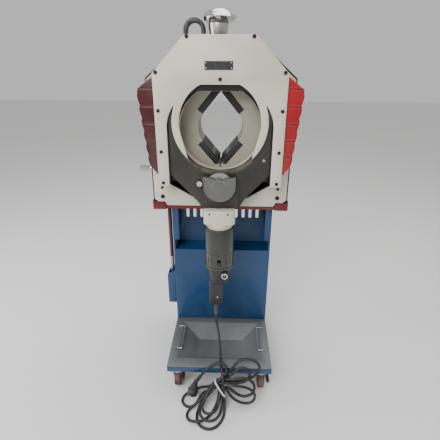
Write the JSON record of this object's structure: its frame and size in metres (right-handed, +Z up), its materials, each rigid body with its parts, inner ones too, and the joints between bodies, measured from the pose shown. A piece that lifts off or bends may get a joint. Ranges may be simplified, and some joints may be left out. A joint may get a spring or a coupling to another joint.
{
  "type": "orbital pipe cutting machine",
  "caption": "Portable orbital pipe saw: a motor-driven saw head circles a vise bore in an octagonal housing, on a narrow trolley with a chip tray.",
  "frame": {"origin": "centre of the bounding box at the floor, measured without the cord", "axes": "+Z up, -Y towards the operator at the front of the saw head, +X to the right of someone facing the machine along +Y"},
  "size_m": [0.5524, 0.6363, 1.2873],
  "materials": {
    "blue": "satin blue paint",
    "ivory": "satin ivory paint",
    "grey": "grey hammered paint",
    "red": "gloss red paint",
    "red_grip": "gloss red plastic",
    "black_paint": "black paint",
    "dark_cast": "dark oiled casting",
    "jaw": "taupe paint",
    "insert_black": "black oxide",
    "steel": "machined steel",
    "zinc": "zinc plated",
    "black_plastic": "black plastic",
    "rubber": "black rubber",
    "wheel": "dark red rubber",
    "maroon": "dark red paint",
    "dark_metal": "dark olive paint"
  },
  "bodies": {
    "frame": {"base_plate": "red", "front_plate": "ivory", "rear_housing": "black_paint", "spindle_bush_left": "steel", "spindle_bush_right": "steel", "guide_rod_upper": "steel", "guide_rod_lower": "steel", "carrying_handle": "black_plastic", "lock_bushing": "steel", "base_frame": "blue", "chip_tray": "grey", "cabinet_shell": "blue", "recess_liner": "blue", "tool_pocket": "blue", "crank_shaft": "zinc", "crank_grip": "maroon", "cord_lead": "rubber", "cord_tail": "rubber", "cord_hank": "rubber", "mains_plug": "black_plastic"},
    "rotor": {"rotor_body": "dark_cast", "rotor_retainer": "steel", "front_cover": "ivory", "left_grip": "red_grip", "right_grip": "red_grip", "label_plate": "black_plastic"},
    "slide": {"slide_housing": "dark_cast", "blade_cover": "steel", "cover_knob": "steel", "gearbox_collar": "ivory", "motor_housing": "dark_metal", "motor_end_cap": "black_plastic", "motor_handle": "black_plastic", "cord_boot": "rubber"},
    "blade": {"saw_blade": "steel", "blade_arbor": "steel"},
    "armature": {"motor_armature": "steel"},
    "switch": {"switch_slider": "black_plastic"},
    "dial": {"speed_dial": "black_plastic"},
    "jaw_left": {"jaw_left": "jaw", "insert_upper_left": "insert_black", "insert_lower_left": "insert_black"},
    "jaw_right": {"jaw_right": "jaw", "insert_upper_right": "insert_black", "insert_lower_right": "insert_black"},
    "spindle": {"vise_spindle": "steel"},
    "lock": {"lock_knob": "steel"},
    "bail_left": {"tray_handle_left": "zinc"},
    "bail_right": {"tray_handle_right": "zinc"},
    "fork_front_left": {"caster_fork_front_left": "zinc"},
    "wheel_front_left": {"caster_wheel_front_left": "wheel"},
    "fork_front_right": {"caster_fork_front_right": "zinc"},
    "wheel_front_right": {"caster_wheel_front_right": "wheel"},
    "fork_rear_left": {"caster_fork_rear_left": "zinc"},
    "wheel_rear_left": {"caster_wheel_rear_left": "wheel"},
    "fork_rear_right": {"caster_fork_rear_right": "zinc"},
    "wheel_rear_right": {"caster_wheel_rear_right": "wheel"},
    "pedal_front_left": {"brake_pedal_front_left": "black_plastic"},
    "pedal_front_right": {"brake_pedal_front_right": "black_plastic"}
  },
  "joints": [
    {"name": "orbit", "type": "hinge", "parent": "frame", "child": "rotor", "pos_m": [0.0178, -0.05925, 0.938], "axis": [0, 1, 0], "range_deg": [-180, 180]},
    {"name": "feed_slide", "type": "slide", "parent": "rotor", "child": "slide", "axis": [0, 0, 1], "range_m": [0, 0.045]},
    {"name": "motor_spin", "type": "hinge", "parent": "slide", "child": "armature", "pos_m": [0.0178, -0.07925, 0.538], "axis": [0, 0, 1], "continuous": true},
    {"name": "blade_spin", "type": "hinge", "parent": "slide", "child": "blade", "pos_m": [0.0178, -0.08425, 0.766], "axis": [0, 1, 0], "continuous": true},
    {"name": "switch_travel", "type": "slide", "parent": "slide", "child": "switch", "axis": [0, 0, 1], "range_m": [0, 0.007]},
    {"name": "speed_dial_turn", "type": "hinge", "parent": "slide", "child": "dial", "pos_m": [0.0378, -0.12925, 0.443], "axis": [0, 1, 0], "range_deg": [0, 300]},
    {"name": "spindle_turn", "type": "hinge", "parent": "frame", "child": "spindle", "pos_m": [0.0178, 0.05375, 0.782], "axis": [1, 0, 0], "range_deg": [0, 2820]},
    {"name": "jaw_left_slide", "type": "slide", "parent": "frame", "child": "jaw_left", "axis": [-1, 0, 0], "range_m": [0, 0.047]},
    {"name": "jaw_right_slide", "type": "slide", "parent": "frame", "child": "jaw_right", "axis": [1, 0, 0], "range_m": [0, 0.047]},
    {"name": "lock_pull", "type": "slide", "parent": "frame", "child": "lock", "axis": [0, 0, 1], "range_m": [0, 0.01], "stiffness_N_per_m": 900, "springref_m": -0.004},
    {"name": "bail_left_lift", "type": "hinge", "parent": "frame", "child": "bail_left", "pos_m": [-0.1502, -0.08725, 0.1281], "axis": [0, -1, 0], "range_deg": [0, 100]},
    {"name": "bail_right_lift", "type": "hinge", "parent": "frame", "child": "bail_right", "pos_m": [0.1958, -0.08725, 0.1281], "axis": [0, 1, 0], "range_deg": [0, 100]},
    {"name": "swivel_front_left", "type": "hinge", "parent": "frame", "child": "fork_front_left", "pos_m": [-0.1332, -0.20425, 0.09], "axis": [0, 0, 1], "continuous": true},
    {"name": "roll_front_left", "type": "hinge", "parent": "fork_front_left", "child": "wheel_front_left", "pos_m": [-0.1332, -0.19225, 0.0375], "axis": [1, 0, 0], "continuous": true},
    {"name": "brake_front_left", "type": "hinge", "parent": "fork_front_left", "child": "pedal_front_left", "pos_m": [-0.1112, -0.20225, 0.068], "axis": [1, 0, 0], "range_deg": [0, 14]},
    {"name": "swivel_front_right", "type": "hinge", "parent": "frame", "child": "fork_front_right", "pos_m": [0.1788, -0.20425, 0.09], "axis": [0, 0, 1], "continuous": true},
    {"name": "roll_front_right", "type": "hinge", "parent": "fork_front_right", "child": "wheel_front_right", "pos_m": [0.1788, -0.19225, 0.0375], "axis": [1, 0, 0], "continuous": true},
    {"name": "brake_front_right", "type": "hinge", "parent": "fork_front_right", "child": "pedal_front_right", "pos_m": [0.2008, -0.20225, 0.068], "axis": [1, 0, 0], "range_deg": [0, 14]},
    {"name": "swivel_rear_left", "type": "hinge", "parent": "frame", "child": "fork_rear_left", "pos_m": [-0.1332, 0.19275, 0.09], "axis": [0, 0, 1], "continuous": true},
    {"name": "roll_rear_left", "type": "hinge", "parent": "fork_rear_left", "child": "wheel_rear_left", "pos_m": [-0.1332, 0.20475, 0.0375], "axis": [1, 0, 0], "continuous": true},
    {"name": "swivel_rear_right", "type": "hinge", "parent": "frame", "child": "fork_rear_right", "pos_m": [0.1788, 0.19275, 0.09], "axis": [0, 0, 1], "continuous": true},
    {"name": "roll_rear_right", "type": "hinge", "parent": "fork_rear_right", "child": "wheel_rear_right", "pos_m": [0.1788, 0.20475, 0.0375], "axis": [1, 0, 0], "continuous": true}
  ],
  "couplings": [
    {"joint": "blade_spin", "follows": "motor_spin", "ratio": -0.35},
    {"joint": "jaw_right_slide", "follows": "jaw_left_slide", "ratio": 1},
    {"joint": "spindle_turn", "follows": "jaw_left_slide", "rad_per_m": 1047.2}
  ]
}
